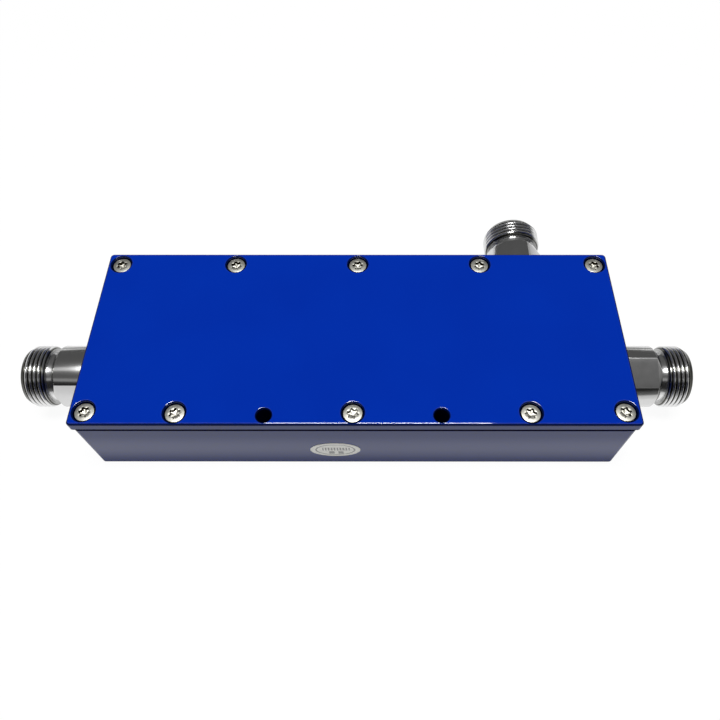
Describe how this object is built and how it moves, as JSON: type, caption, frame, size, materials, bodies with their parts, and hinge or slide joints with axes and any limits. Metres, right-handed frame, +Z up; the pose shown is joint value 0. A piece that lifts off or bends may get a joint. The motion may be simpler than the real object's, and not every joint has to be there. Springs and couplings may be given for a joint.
{
  "type": "directional coupler",
  "caption": "Long flat painted box with a screwed cover and threaded coaxial jacks on both ends and the back; taps a small share of a radio signal.",
  "frame": {"origin": "centre of the housing's flat underside", "axes": "+X towards the input jack, +Y towards the coupled jack on the back, +Z up through the cover"},
  "size_m": [0.1684, 0.0685, 0.023],
  "materials": {
    "blue_paint": "gloss enamel on aluminium",
    "jack_metal": "bright turned, nickel plated",
    "screw_steel": "stainless, satin",
    "label_paper": "printed sticker",
    "ptfe": "turned, waxy white",
    "contact_gold": "gold plated",
    "line_silver": "silver plated",
    "nylon": "moulded, natural",
    "load_nickel": "nickel plated copper",
    "load_ceramic": "sintered alumina"
  },
  "bodies": {
    "root": {"housing": "blue_paint", "cover_plate": "blue_paint", "cover_screws": "screw_steel", "inspection_label": "label_paper", "main_line": "line_silver", "coupled_line": "line_silver", "line_screws": "nylon", "load_flange": "load_nickel", "load_substrate": "load_ceramic", "load_cap": "load_ceramic", "load_lead": "line_silver", "load_screws": "screw_steel", "input_jack_shell": "jack_metal", "input_jack_insulator": "ptfe", "input_jack_contact": "contact_gold", "output_jack_shell": "jack_metal", "output_jack_insulator": "ptfe", "output_jack_contact": "contact_gold", "coupled_jack_shell": "jack_metal", "coupled_jack_insulator": "ptfe", "coupled_jack_contact": "contact_gold", "main_line_post_left": "ptfe", "main_line_post_middle": "ptfe", "main_line_post_right": "ptfe", "coupled_line_post_left": "ptfe", "coupled_line_post_middle": "ptfe", "coupled_line_post_right": "ptfe"}
  },
  "joints": []
}
